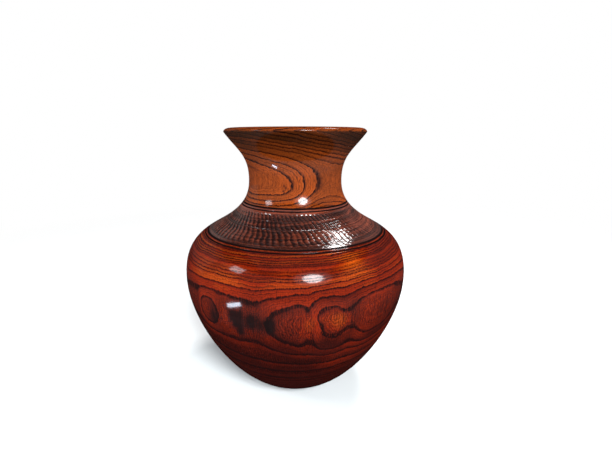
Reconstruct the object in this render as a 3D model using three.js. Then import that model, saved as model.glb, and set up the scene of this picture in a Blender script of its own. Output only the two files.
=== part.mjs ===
// A turned and carved wooden flower vase with a lift-out copper water liner.
// Millimetres, +Z up. The axis of turning is Z and the vase stands on z = 0.
import * as THREE from "three";
import { mergeVertices } from "three/addons/utils/BufferGeometryUtils.js";

// Outside of the vase: radii, rises from one ring to the next, and the curve handles between them
const FOOT_RADIUS = 40.2;
const FOOT_ANGLE = 19.6;
const FOOT_HANDLE = 33.8;
const BELLY_RADIUS = 110.9;
const BELLY_RISE = 120.6;
const BELLY_HANDLE_BELOW = 43.9;
const BELLY_HANDLE_ABOVE = 42.6;
const SHOULDER_RADIUS = 65.2;
const SHOULDER_RISE = 59.3;
const SHOULDER_ANGLE = 35.3;
const SHOULDER_HANDLE_BELOW = 25.7;
const SHOULDER_HANDLE_ABOVE = 20.3;
const THROAT_RADIUS = 44.9;
const THROAT_RISE = 35.2;
const THROAT_HANDLE_BELOW = 12.7;
const THROAT_HANDLE_ABOVE = 21.5;
const LIP_RADIUS = 66.4;
const LIP_RISE = 41.4;
const LIP_ANGLE = 54.2;
const LIP_HANDLE = 19.1;
const LIP_ROUND_HEIGHT = 3.5;
const LIP_WIDTH = 6;

// Walls and the inside of the mouth
const WALL = 9;
const FLOOR_THICKNESS = 14;
const MOUTH_HANDLE_BELOW = 20;
const MOUTH_HANDLE_ABOVE = 14;
const MOUTH_ANGLE = 46;

// Pairs of turned grooves, the upper groove of each pair on a glued seam
const UPPER_SEAM_RISE = 13.5;
const UPPER_GROOVE_SPACING = 2.2;
const LOWER_SEAM_DROP = 12.7;
const LOWER_GROOVE_SPACING = 1.5;
const GROOVE_WIDTH = 1.1;
const GROOVE_DEPTH = 0.7;

// Line turned between the two tiers of the carved band
const TIER_LINE_DROP = 1.2;
const TIER_LINE_WIDTH = 1.2;
const TIER_LINE_DEPTH = 0.6;

// Spigot and rebate joints
const SPIGOT_DEPTH = 4;
const SHOULDER_LEDGE = 5;
const NECK_LEDGE = 3;
const GLUE_GAP = 0.3;

// Stepped plug that closes the bowl from below, set back from the ring that stands on the table
const FOOT_RING_WIDTH = 8;
const FOOT_RECESS = 1.5;
const PLUG_FLANGE_THICKNESS = 4.5;
const PLUG_STEP = 6;
const PLUG_DISH_MARGIN = 9;
const PLUG_DISH_DEPTH = 1.2;

// Copper liner that hangs by its rim from a ledge above the throat
const SEAT_RISE = 11;
const SEAT_WIDTH = 5;
const SEAT_GAP = 0.3;
const LINER_CLEARANCE = 1.2;
const LINER_WALL = 1.2;
const LINER_LENGTH = 165;
const LINER_BOTTOM_THICKNESS = 1.2;
const LINER_BOTTOM_TURN_UP = 6;
const SOLDER_GAP = 0.3;
const RIM_SIDE_GAP = 0.6;
const RIM_THICKNESS = 1.5;
const RIM_BEAD_RADIUS = 1.2;

// Facets
const WOOD_SEGMENTS = 48;
const LINER_SEGMENTS = 48;
const OUTER_STEPS = 8;
const INNER_STEPS = 6;
const ROUND_STEPS = 5;
const BEAD_STEPS = 9;
const LOOKUP_STEPS = 200;
const MERGE_DISTANCE = 1e-3;

// Materials
const neckWood = new THREE.MeshStandardMaterial({ color: 0x9a4a1a, roughness: 0.25, metalness: 0 });
const carvedWood = new THREE.MeshStandardMaterial({ color: 0x3c1a0f, roughness: 0.45, metalness: 0 });
const bellyWood = new THREE.MeshStandardMaterial({ color: 0x7a2f14, roughness: 0.25, metalness: 0 });
const plugWood = new THREE.MeshStandardMaterial({ color: 0x5a2813, roughness: 0.5, metalness: 0 });
const copper = new THREE.MeshStandardMaterial({ color: 0xb0673c, roughness: 0.35, metalness: 1 });
const tinnedCopper = new THREE.MeshStandardMaterial({ color: 0xa8714c, roughness: 0.4, metalness: 1 });
const rolledCopper = new THREE.MeshStandardMaterial({ color: 0xba6e42, roughness: 0.28, metalness: 1 });

// A place on a profile: its radius and its height
const at = (radius, height) => new THREE.Vector2(radius, height);

// A unit step that climbs at an angle, away from the axis or towards it
function climbing(degrees, outward = 1) {
  const angle = THREE.MathUtils.degToRad(degrees);
  return at(outward * Math.cos(angle), Math.sin(angle));
}

function curveBetween(from, fromStep, fromHandle, to, toStep, toHandle) {
  return new THREE.CubicBezierCurve(
    from,
    from.clone().addScaledVector(fromStep, fromHandle),
    to.clone().addScaledVector(toStep, -toHandle),
    to,
  );
}

// Heights that follow from the rises
const shoulderHeight = BELLY_RISE + SHOULDER_RISE;
const throatHeight = shoulderHeight + THROAT_RISE;
const lipHeight = throatHeight + LIP_RISE;
const topHeight = lipHeight + LIP_ROUND_HEIGHT;
const upperSeam = shoulderHeight + UPPER_SEAM_RISE;
const lowerSeam = shoulderHeight - LOWER_SEAM_DROP;
const tierLine = shoulderHeight - TIER_LINE_DROP;

// Outer silhouette, from the foot to the widest ring of the lip
const up = at(0, 1);
const foot = at(FOOT_RADIUS, 0);
const belly = at(BELLY_RADIUS, BELLY_RISE);
const shoulder = at(SHOULDER_RADIUS, shoulderHeight);
const shoulderStep = climbing(SHOULDER_ANGLE, -1);
const throat = at(THROAT_RADIUS, throatHeight);
const lip = at(LIP_RADIUS, lipHeight);
const bodyCurves = [
  curveBetween(foot, climbing(FOOT_ANGLE), FOOT_HANDLE, belly, up, BELLY_HANDLE_BELOW),
  curveBetween(belly, up, BELLY_HANDLE_ABOVE, shoulder, shoulderStep, SHOULDER_HANDLE_BELOW),
  curveBetween(shoulder, shoulderStep, SHOULDER_HANDLE_ABOVE, throat, up, THROAT_HANDLE_BELOW),
];
const flareCurve = curveBetween(throat, up, THROAT_HANDLE_ABOVE, lip, climbing(LIP_ANGLE), LIP_HANDLE);
const outerCurves = [...bodyCurves, flareCurve];

// Inside of the flared mouth, from the throat to the top of the lip
const throatBore = THROAT_RADIUS - WALL;
const mouthCurve = curveBetween(
  at(throatBore, throatHeight),
  up,
  MOUTH_HANDLE_BELOW,
  at(LIP_RADIUS - LIP_WIDTH, topHeight),
  climbing(MOUTH_ANGLE),
  MOUTH_HANDLE_ABOVE,
);

// The places along curves that meet end to end, each moved square to its curve towards the axis
function inset(curves, depth, steps) {
  return curves.flatMap((curve, index) => {
    const places = [];
    for (let step = index ? 1 : 0; step <= steps; step += 1) {
      const place = curve.getPoint(step / steps);
      const along = curve.getTangent(step / steps);
      places.push(at(place.x - along.y * depth, place.y + along.x * depth));
    }
    return places;
  });
}

// Value of one coordinate where a run of places first reaches a value of the other, or at its end
function reach(run, known, wanted, value) {
  const found = run.findIndex((place) => place[known] >= value);
  const after = found < 0 ? run.length - 1 : Math.max(1, found);
  const [low, high] = [run[after - 1], run[after]];
  const share = (value - low[known]) / (high[known] - low[known]);
  return low[wanted] + share * (high[wanted] - low[wanted]);
}

const outerLookup = inset(outerCurves, 0, LOOKUP_STEPS);
const innerLookup = inset(bodyCurves, WALL, LOOKUP_STEPS);
const mouthLookup = inset([mouthCurve], 0, LOOKUP_STEPS);
const outerRadius = (height) => reach(outerLookup, "y", "x", height);
const innerRadius = (height) => reach(innerLookup, "y", "x", height);

// A run of places between two heights, leaving room at its ends for a groove
function between(places, radius, from, to) {
  const inside = places.filter((place) => place.y > from + GROOVE_WIDTH && place.y < to - GROOVE_WIDTH);
  return [at(radius(from), from), ...inside, at(radius(to), to)];
}

const outerRun = (from, to) => between(inset(outerCurves, 0, OUTER_STEPS), outerRadius, from, to);
const innerRun = (from, to) => between(inset(bodyCurves, WALL, INNER_STEPS), innerRadius, from, to);
const downwards = (run) => [...run].reverse();

// The bottom of a V groove at a height, cut square to the outer surface
function grooveBottom(height, width, depth) {
  const across = at(outerRadius(height - width / 2) - outerRadius(height + width / 2), width).normalize();
  return at(outerRadius(height) - across.y * depth, height);
}

// A run of outer places with a V groove cut in it
function grooved(run, height, width, depth) {
  const [low, high] = [height - width / 2, height + width / 2];
  return [
    ...run.filter((place) => place.y < low),
    at(outerRadius(low), low),
    grooveBottom(height, width, depth),
    at(outerRadius(high), high),
    ...run.filter((place) => place.y > high),
  ];
}

// A rounded corner as places on an ellipse, between two angles in degrees
function rounded(centre, width, height, fromDegrees, toDegrees, steps) {
  const places = [];
  for (let step = 0; step <= steps; step += 1) {
    const angle = THREE.MathUtils.degToRad(fromDegrees + ((toDegrees - fromDegrees) * step) / steps);
    places.push(at(centre.x + width * Math.cos(angle), centre.y + height * Math.sin(angle)));
  }
  return places;
}

// A closed profile, listed anticlockwise, turned about Z, with the vertices that its facets share merged
function turned(name, profile, segments, material) {
  const lathe = new THREE.LatheGeometry([...profile, profile[0]], segments);
  lathe.deleteAttribute("normal");
  lathe.deleteAttribute("uv");
  lathe.applyMatrix4(new THREE.Matrix4().set(1, 0, 0, 0, 0, 0, -1, 0, 0, 1, 0, 0, 0, 0, 0, 1));
  const geometry = mergeVertices(lathe, MERGE_DISTANCE);
  const corners = Array.from(geometry.index.array);
  const facets = [];
  for (let first = 0; first < corners.length; first += 3) {
    const facet = corners.slice(first, first + 3);
    if (new Set(facet).size === 3) facets.push(...facet);
  }
  geometry.setIndex(facets);
  geometry.computeVertexNormals();
  const mesh = new THREE.Mesh(geometry, material);
  mesh.name = name;
  return mesh;
}

// Faces that the glued pieces share
const shoulderSpigotFoot = lowerSeam - SPIGOT_DEPTH;
const shoulderSpigotRadius = innerRadius(shoulderSpigotFoot) + SHOULDER_LEDGE;
const neckSpigotFoot = upperSeam - SPIGOT_DEPTH;
const neckSpigotRadius = innerRadius(neckSpigotFoot) + NECK_LEDGE;
const plugFlangeRadius = FOOT_RADIUS - FOOT_RING_WIDTH;
const plugFlangeTop = FOOT_RECESS + PLUG_FLANGE_THICKNESS;
const plugSpigotRadius = plugFlangeRadius - PLUG_STEP;
const lowerSeamEdge = grooveBottom(lowerSeam, GROOVE_WIDTH, GROOVE_DEPTH);
const upperSeamEdge = grooveBottom(upperSeam, GROOVE_WIDTH, GROOVE_DEPTH);

// Faces that the liner and its seat share
const seatHeight = throatHeight + SEAT_RISE;
const seatRadius = throatBore + SEAT_WIDTH;
const linerTop = seatHeight + SEAT_GAP;
const linerRadius = throatBore - LINER_CLEARANCE;
const linerBore = linerRadius - LINER_WALL;
const linerFoot = linerTop - LINER_LENGTH;

// Belly: a bowl with a ring to stand on, open below for the plug and rebated above for the shoulder
function bellyBowl() {
  const run = grooved(
    outerRun(0, lowerSeam - GROOVE_WIDTH / 2),
    lowerSeam - LOWER_GROOVE_SPACING,
    GROOVE_WIDTH,
    GROOVE_DEPTH,
  );
  return turned(
    "belly_bowl",
    [
      at(plugFlangeRadius + GLUE_GAP, 0),
      ...run,
      lowerSeamEdge,
      at(shoulderSpigotRadius + GLUE_GAP, lowerSeam),
      at(shoulderSpigotRadius + GLUE_GAP, shoulderSpigotFoot),
      ...downwards(innerRun(FLOOR_THICKNESS, shoulderSpigotFoot)),
      at(plugSpigotRadius + GLUE_GAP, FLOOR_THICKNESS),
      at(plugSpigotRadius + GLUE_GAP, plugFlangeTop),
      at(plugFlangeRadius + GLUE_GAP, plugFlangeTop),
    ],
    WOOD_SEGMENTS,
    bellyWood,
  );
}

// Shoulder: the ring that carries the carved band, with a spigot below and a rebate above
function carvedShoulder() {
  let run = outerRun(lowerSeam + GROOVE_WIDTH / 2, upperSeam - GROOVE_WIDTH / 2);
  run = grooved(run, tierLine, TIER_LINE_WIDTH, TIER_LINE_DEPTH);
  run = grooved(run, upperSeam - UPPER_GROOVE_SPACING, GROOVE_WIDTH, GROOVE_DEPTH);
  return turned(
    "carved_shoulder",
    [
      at(shoulderSpigotRadius, shoulderSpigotFoot),
      at(shoulderSpigotRadius, lowerSeam),
      lowerSeamEdge,
      ...run,
      upperSeamEdge,
      at(neckSpigotRadius + GLUE_GAP, upperSeam),
      at(neckSpigotRadius + GLUE_GAP, neckSpigotFoot),
      ...downwards(innerRun(shoulderSpigotFoot, neckSpigotFoot)),
    ],
    WOOD_SEGMENTS,
    carvedWood,
  );
}

// Neck: the flared mouth, with a spigot below and a ledge inside for the liner's rim
function neckCollar() {
  const lipCentre = at(LIP_RADIUS - LIP_WIDTH, lipHeight);
  const flareFoot = reach(mouthLookup, "x", "y", seatRadius);
  const mouthRun = inset([mouthCurve], 0, OUTER_STEPS).filter((place) => place.x > seatRadius);
  return turned(
    "neck_collar",
    [
      at(neckSpigotRadius, neckSpigotFoot),
      at(neckSpigotRadius, upperSeam),
      upperSeamEdge,
      ...outerRun(upperSeam + GROOVE_WIDTH / 2, lipHeight).slice(0, -1),
      ...rounded(lipCentre, LIP_WIDTH, LIP_ROUND_HEIGHT, 0, 90, ROUND_STEPS).slice(0, -1),
      ...downwards(mouthRun),
      at(seatRadius, flareFoot),
      at(seatRadius, seatHeight),
      at(throatBore, seatHeight),
      ...downwards(innerRun(neckSpigotFoot, throatHeight)),
    ],
    WOOD_SEGMENTS,
    neckWood,
  );
}

// Plug: a stepped disc glued up into the bowl, dished underneath
function basePlug() {
  const dishRadius = plugFlangeRadius - PLUG_DISH_MARGIN;
  const dish = rounded(at(0, FOOT_RECESS), dishRadius, PLUG_DISH_DEPTH, 90, 0, ROUND_STEPS);
  return turned(
    "base_plug",
    [
      at(0, FOOT_RECESS + PLUG_DISH_DEPTH),
      ...dish.slice(1),
      at(plugFlangeRadius, FOOT_RECESS),
      at(plugFlangeRadius, plugFlangeTop),
      at(plugSpigotRadius, plugFlangeTop),
      at(plugSpigotRadius, FLOOR_THICKNESS),
      at(0, FLOOR_THICKNESS),
    ],
    WOOD_SEGMENTS,
    plugWood,
  );
}

function linerTube() {
  return turned(
    "liner_tube",
    [at(linerBore, linerFoot), at(linerRadius, linerFoot), at(linerRadius, linerTop), at(linerBore, linerTop)],
    LINER_SEGMENTS,
    copper,
  );
}

// Bottom of the liner: a disc with a turned-up edge, soldered inside the tube
function linerBottom() {
  const edge = linerBore - SOLDER_GAP;
  const panTop = linerFoot + LINER_BOTTOM_THICKNESS;
  const turnUpTop = linerFoot + LINER_BOTTOM_TURN_UP;
  return turned(
    "liner_bottom",
    [
      at(0, linerFoot),
      at(edge, linerFoot),
      at(edge, turnUpTop),
      at(edge - LINER_BOTTOM_THICKNESS, turnUpTop),
      at(edge - LINER_BOTTOM_THICKNESS, panTop),
      at(0, panTop),
    ],
    LINER_SEGMENTS,
    tinnedCopper,
  );
}

// Rim of the liner: a flat collar on the tube's top, with a bead rolled along its outer edge
function linerRim() {
  const beadCentre = at(seatRadius - RIM_SIDE_GAP - RIM_BEAD_RADIUS, linerTop + RIM_BEAD_RADIUS);
  const meeting = THREE.MathUtils.radToDeg(Math.asin((RIM_THICKNESS - RIM_BEAD_RADIUS) / RIM_BEAD_RADIUS));
  return turned(
    "liner_rim",
    [
      at(linerBore, linerTop),
      ...rounded(beadCentre, RIM_BEAD_RADIUS, RIM_BEAD_RADIUS, -90, 180 - meeting, BEAD_STEPS),
      at(linerBore, linerTop + RIM_THICKNESS),
    ],
    LINER_SEGMENTS,
    rolledCopper,
  );
}

const liner = new THREE.Group();
liner.add(linerTube(), linerBottom(), linerRim());

const vase = new THREE.Group();
vase.add(neckCollar(), carvedShoulder(), bellyBowl(), basePlug(), liner);

export default vase;
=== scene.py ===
"""Looks of a turned and carved wooden vase with a copper water liner that lifts out.

Sizes are millimetres, as in the part's own outline. The finishes and the studio are in metres,
and meshes are written in metres.
Turns round the axis are measured from the front of the vase, to the right.
"""

import logging
import math
from dataclasses import dataclass, field
from enum import Enum

import bpy
import numpy as np
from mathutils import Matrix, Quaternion, Vector


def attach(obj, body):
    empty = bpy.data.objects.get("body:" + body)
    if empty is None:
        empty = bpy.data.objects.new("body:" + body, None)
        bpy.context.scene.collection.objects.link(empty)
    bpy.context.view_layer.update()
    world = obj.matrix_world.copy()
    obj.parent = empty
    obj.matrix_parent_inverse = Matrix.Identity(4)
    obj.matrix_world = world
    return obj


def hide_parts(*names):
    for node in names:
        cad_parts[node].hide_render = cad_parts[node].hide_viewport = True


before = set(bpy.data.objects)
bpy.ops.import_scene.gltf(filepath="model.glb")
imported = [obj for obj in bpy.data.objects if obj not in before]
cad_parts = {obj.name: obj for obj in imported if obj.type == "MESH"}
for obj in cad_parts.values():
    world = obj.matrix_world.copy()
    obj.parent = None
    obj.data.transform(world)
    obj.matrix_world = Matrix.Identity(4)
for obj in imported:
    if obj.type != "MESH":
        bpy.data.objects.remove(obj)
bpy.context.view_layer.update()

LOG = logging.getLogger("vase")
MM = 0.001
IMAGE_WIDTH = 612
IMAGE_HEIGHT = 461

# Share, first colour and second colour of a Mix node, and its result
MIX_INPUTS = (0, 6, 7)
MIX_OUTPUT = 2

Colour = tuple[float, float, float]
Axes = tuple[float, float, float]

# A span is a first and a last value, a pair is two values that belong together
Span = tuple[float, float]
Pair = tuple[float, float]


class Body(Enum):
    """Bodies of the frame that the pieces ride on."""

    VASE = "vase"
    LINER = "liner"


class Value(Enum):
    """Values painted on the vertices for the finishes to read."""

    RING = "ring"
    PACE = "pace"
    # Tone of the wood, with painted shade and painted light at some heights and in patches
    TONE = "tone"
    # Stains in the wood, and painted shade in grooves, beside seams and in chatter scoops
    STAIN = "stain"


def heading(degrees: float, outward: float = 1.0) -> np.ndarray:
    """Gives the unit step (radius, height) that climbs at an angle.

    Args:
        degrees: Angle above the horizontal.
        outward: 1 to move away from the axis, -1 to move towards it.

    Returns:
        The step as two numbers.
    """
    angle = math.radians(degrees)
    return np.array([outward * math.cos(angle), math.sin(angle)])


def smooth_step(low: float, high: float, value: np.ndarray) -> np.ndarray:
    """Rises smoothly from 0 to 1 between two values.

    Args:
        low: Value at which the rise starts.
        high: Value at which the rise ends.
        value: Values to look up.

    Returns:
        An array of the same shape, from 0 to 1.
    """
    share = np.clip((value - low) / (high - low), 0.0, 1.0)
    return share * share * (3.0 - 2.0 * share)


def soft_limit(value: np.ndarray, most: float, sharpness: float = 6.0) -> np.ndarray:
    """Keeps values under a limit, with a soft bend just below it.

    Args:
        value: Values to limit.
        most: Limit.
        sharpness: How tight the bend is.

    Returns:
        The limited values.
    """
    return most - np.logaddexp(0.0, (most - value) * sharpness) / sharpness


def along(line: np.ndarray) -> np.ndarray:
    """Gives the distance along a line of places to each of its places.

    Args:
        line: Places as rows of (radius, height).

    Returns:
        One distance for each place, from 0.
    """
    steps = np.linalg.norm(np.diff(line, axis=0), axis=1)
    return np.concatenate([[0.0], np.cumsum(steps)])


def at_distances(line: np.ndarray, distances: np.ndarray) -> np.ndarray:
    """Looks up the places at given distances along a line.

    Args:
        line: Places as rows of (radius, height).
        distances: Distances along it.

    Returns:
        One row of (radius, height) for each distance.
    """
    whole = along(line)
    return np.stack([np.interp(distances, whole, line[:, axis]) for axis in (0, 1)], axis=1)


def spaced(line: np.ndarray, spacing: float) -> np.ndarray:
    """Places a line again with even spacing, keeping both ends.

    Args:
        line: Places as rows of (radius, height).
        spacing: Wanted distance between places.

    Returns:
        The new rows of (radius, height).
    """
    length = along(line)[-1]
    return at_distances(line, np.linspace(0.0, length, max(2, round(length / spacing) + 1)))


def cut(line: np.ndarray, low: float, high: float) -> np.ndarray:
    """Keeps the part of a climbing line between two heights.

    Args:
        line: Places whose heights only climb.
        low: Lower height.
        high: Upper height.

    Returns:
        The rows between the heights, with new places at both.
    """
    inside = line[(line[:, 1] > low) & (line[:, 1] < high)]
    ends = [[np.interp(height, line[:, 1], line[:, 0]), height] for height in (low, high)]
    return np.concatenate([[ends[0]], inside, [ends[1]]])


def facing(line: np.ndarray) -> np.ndarray:
    """Gives the direction square to a line at each place, away from the wood.

    Args:
        line: Places in order, with the wood on the left hand.

    Returns:
        Unit steps (radius, height), one for each place.
    """
    step = np.gradient(line, axis=0)
    step /= np.linalg.norm(step, axis=1, keepdims=True)
    return np.stack([step[:, 1], -step[:, 0]], axis=1)


def turned_from(places: np.ndarray, turn: float) -> np.ndarray:
    """Gives how far places are turned round the axis from a given turn.

    Args:
        places: Places in millimetres, with x, y and z on the last axis.
        turn: Turn to measure from, in degrees.

    Returns:
        Angles in radians, at most half a turn either way.
    """
    angle = np.arctan2(places[..., 0], -places[..., 1]) - math.radians(turn)
    return np.angle(np.exp(1j * angle))


@dataclass(frozen=True)
class SpaceNoise:
    """Smooth seeded noise in space, from -size to size."""

    scale: float
    seed: int
    size: float = 1.0
    stretch: Axes = (1.0, 1.0, 1.0)
    lattice: int = 32
    offset: float = 1000.0

    def sample(self, places: np.ndarray) -> np.ndarray:
        """Looks the noise up.

        Args:
            places: Places in millimetres, with x, y and z on the last axis.

        Returns:
            One value for each place.
        """
        cells = np.random.default_rng(self.seed).random((self.lattice,) * 3)
        grid = places * np.array(self.stretch) / self.scale + self.offset
        low = np.floor(grid).astype(int)
        share = grid - low
        share = share**3 * (share * (share * 6.0 - 15.0) + 10.0)
        total = np.zeros(places.shape[:-1])
        for corner in np.ndindex(2, 2, 2):
            weight = np.prod(np.where(corner, share, 1.0 - share), axis=-1)
            x, y, z = np.moveaxis((low + corner) % self.lattice, -1, 0)
            total += weight * cells[x, y, z]
        return self.size * (total * 2.0 - 1.0)


@dataclass(frozen=True)
class Outline:
    """Turned outline of the vase: its rings, and the handles of the curves between them."""

    foot_radius: float = 40.2
    foot_angle: float = 19.6
    foot_handle: float = 33.8
    belly_radius: float = 110.9
    belly_height: float = 120.6
    belly_handle_below: float = 43.9
    belly_handle_above: float = 42.6
    shoulder_radius: float = 65.2
    shoulder_height: float = 179.9
    shoulder_angle: float = 35.3
    shoulder_handle_below: float = 25.7
    shoulder_handle_above: float = 20.3
    throat_radius: float = 44.9
    throat_height: float = 215.1
    throat_handle_below: float = 12.7
    throat_handle_above: float = 21.5
    lip_radius: float = 66.4
    lip_height: float = 256.5
    lip_angle: float = 54.2
    lip_handle: float = 19.1
    lip_round: float = 3.5
    lip_width: float = 6.0
    wall: float = 9.0
    mouth_handle_below: float = 20.0
    mouth_handle_above: float = 14.0
    mouth_angle: float = 46.0
    upper_seam: float = 193.4
    lower_seam: float = 167.2
    upper_cut: Span = (192.85, 193.95)
    lower_cut: Span = (166.80, 167.75)
    groove_depth: float = 0.7
    steps: int = 240
    lip_steps: int = 60

    def curve(
        self,
        start: np.ndarray,
        start_handle: np.ndarray,
        end: np.ndarray,
        end_handle: np.ndarray,
    ) -> np.ndarray:
        """Draws one cubic curve.

        Args:
            start: First place.
            start_handle: Step from the first place to its handle.
            end: Last place.
            end_handle: Step from the handle to the last place.

        Returns:
            Places along the curve.
        """
        share = np.linspace(0.0, 1.0, self.steps)[:, None]
        rest = 1.0 - share
        return (
            rest**3 * start
            + 3.0 * rest**2 * share * (start + start_handle)
            + 3.0 * rest * share**2 * (end - end_handle)
            + share**3 * end
        )

    def body(self) -> np.ndarray:
        """Draws the outside from the foot to the throat.

        Returns:
            Places along the outside.
        """
        up = heading(90.0)
        slope = heading(self.shoulder_angle, -1.0)
        foot = np.array([self.foot_radius, 0.0])
        belly = np.array([self.belly_radius, self.belly_height])
        shoulder = np.array([self.shoulder_radius, self.shoulder_height])
        throat = np.array([self.throat_radius, self.throat_height])
        rise = heading(self.foot_angle) * self.foot_handle
        lower = self.curve(foot, rise, belly, up * self.belly_handle_below)
        upper = self.curve(
            belly, up * self.belly_handle_above, shoulder, slope * self.shoulder_handle_below
        )
        neck = self.curve(
            shoulder, slope * self.shoulder_handle_above, throat, up * self.throat_handle_below
        )
        return np.concatenate([lower, upper[1:], neck[1:]])

    def outside(self) -> np.ndarray:
        """Draws the outside from the foot to the widest ring of the lip.

        Returns:
            Places along the outside.
        """
        throat = np.array([self.throat_radius, self.throat_height])
        lip = np.array([self.lip_radius, self.lip_height])
        flare = self.curve(
            throat,
            heading(90.0) * self.throat_handle_above,
            lip,
            heading(self.lip_angle) * self.lip_handle,
        )
        return np.concatenate([self.body(), flare[1:]])

    def inside(self) -> np.ndarray:
        """Draws the inside of the wall from the foot to the throat.

        Returns:
            Places along the inside.
        """
        body = self.body()
        return body - facing(body) * self.wall

    def lip(self) -> np.ndarray:
        """Draws the rounded lip from its widest ring to its top.

        Returns:
            Places along the lip.
        """
        angle = np.linspace(0.0, math.pi / 2.0, self.lip_steps)
        radius = self.lip_radius - self.lip_width * (1.0 - np.cos(angle))
        return np.stack([radius, self.lip_height + self.lip_round * np.sin(angle)], axis=1)

    def mouth(self) -> np.ndarray:
        """Draws the inside of the mouth from the throat to the top of the lip.

        Returns:
            Places along the mouth.
        """
        bore = np.array([self.throat_radius - self.wall, self.throat_height])
        top = np.array([self.lip_radius - self.lip_width, self.lip_height + self.lip_round])
        return self.curve(
            bore,
            heading(90.0) * self.mouth_handle_below,
            top,
            heading(self.mouth_angle) * self.mouth_handle_above,
        )

    def seam_edge(self, seam: float, span: Span) -> np.ndarray:
        """Finds the bottom of the groove on a glued seam.

        Args:
            seam: Height of the seam.
            span: Heights between which the groove is cut.

        Returns:
            The place (radius, height).
        """
        outside = self.outside()
        low, middle, high = np.interp([span[0], seam, span[1]], outside[:, 1], outside[:, 0])
        width = span[1] - span[0]
        upright = width / math.hypot(low - high, width)
        return np.array([middle - upright * self.groove_depth, seam])


@dataclass
class SpunGrid:
    """Rows and columns of places on a turned surface, with values painted on them."""

    radius: np.ndarray
    height: np.ndarray
    columns: int
    closed: bool = True
    poles: tuple[int, ...] = ()
    values: dict[Value, np.ndarray] = field(default_factory=dict)
    least_step: float = 0.01
    pace_range: Span = (0.015, 1.0)
    sharp_angle: float = 38.0

    def turns(self) -> np.ndarray:
        """Returns the turn of each column, in radians from the front."""
        return np.linspace(-math.pi, math.pi, self.columns, endpoint=False)

    def places(self) -> np.ndarray:
        """Turns the rows into places.

        Returns:
            An array of rows, columns and x, y, z in millimetres.
        """
        turn = self.turns()
        return np.stack(
            [self.radius * np.sin(turn), -self.radius * np.cos(turn), self.height], axis=-1
        )

    def paint(self, rings: np.ndarray, tone: np.ndarray, stain: np.ndarray) -> None:
        """Paints what the wood finishes read, and how fast the rings follow along the surface.

        Args:
            rings: Count of year rings at each place.
            tone: How dark and red the wood is, with painted shade and painted light in it.
            stain: How stained it is, with painted shade in grooves, beside seams and in chatter scoops, 1
                in a groove.
        """
        places = self.places()
        slope = np.zeros(rings.shape)
        for axis in (0, 1):
            change = np.roll(rings, -1, axis) - np.roll(rings, 1, axis)
            step = np.linalg.norm(np.roll(places, -1, axis) - np.roll(places, 1, axis), axis=-1)
            slope = slope + (change / np.maximum(step, self.least_step)) ** 2
        self.values[Value.RING] = rings
        self.values[Value.PACE] = np.clip(np.sqrt(slope), *self.pace_range)
        self.values[Value.TONE] = tone
        self.values[Value.STAIN] = stain

    def mesh(self, name: str) -> bpy.types.Mesh:
        """Makes the mesh, with a point on the axis at each row that is a pole.

        Args:
            name: Name of the mesh.

        Returns:
            The new mesh, in metres.
        """
        rows = self.radius.shape[0]
        index = np.arange(rows * self.columns).reshape(rows, self.columns)
        right = np.roll(index, -1, axis=1)
        last = rows if self.closed else rows - 1
        above = np.roll(index, -1, axis=0)[:last]
        above_right = np.roll(right, -1, axis=0)[:last]
        quads = np.stack([index[:last], right[:last], above_right, above], axis=-1)
        vertices = self.places().reshape(-1, 3)
        painted = {value: array.reshape(-1) for value, array in self.values.items()}
        faces = quads.reshape(-1, 4).tolist()
        for row in self.poles:
            pole = len(vertices)
            vertices = np.concatenate([vertices, [[0.0, 0.0, self.height[row, 0]]]])
            for value, array in painted.items():
                painted[value] = np.append(array, self.values[value][row].mean())
            ring = np.stack([index[row], right[row]], axis=-1)
            ring = ring[:, ::-1] if row == 0 else ring
            faces += [[int(a), int(b), pole] for a, b in ring]
        mesh = bpy.data.meshes.new(name)
        mesh.from_pydata((vertices * MM).tolist(), [], faces)
        for value, array in painted.items():
            attribute = mesh.attributes.new(value.value, "FLOAT", "POINT")
            attribute.data.foreach_set("value", array.astype(np.float32))
        mesh.shade_smooth()
        mesh.set_sharp_from_angle(angle=math.radians(self.sharp_angle))
        mesh.validate()
        return mesh


def spun(
    line: np.ndarray, columns: int, closed: bool = True, poles: tuple[int, ...] = ()
) -> SpunGrid:
    """Turns a line of places round the axis.

    Args:
        line: Places as rows of (radius, height).
        columns: Number of columns round the axis.
        closed: Whether the line is a closed loop.
        poles: Rows that are closed by a point on the axis.

    Returns:
        The grid of places.
    """
    grid = np.repeat(line[:, None, :], columns, axis=1)
    return SpunGrid(grid[..., 0], grid[..., 1], columns, closed, poles)


@dataclass(frozen=True)
class Cloud:
    """Noise texture: waves in a metre, octaves, share of the finer ones, and stretch."""

    scale: float
    detail: float = 2.0
    rough: float = 0.5
    stretch: Axes = (1.0, 1.0, 1.0)


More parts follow.
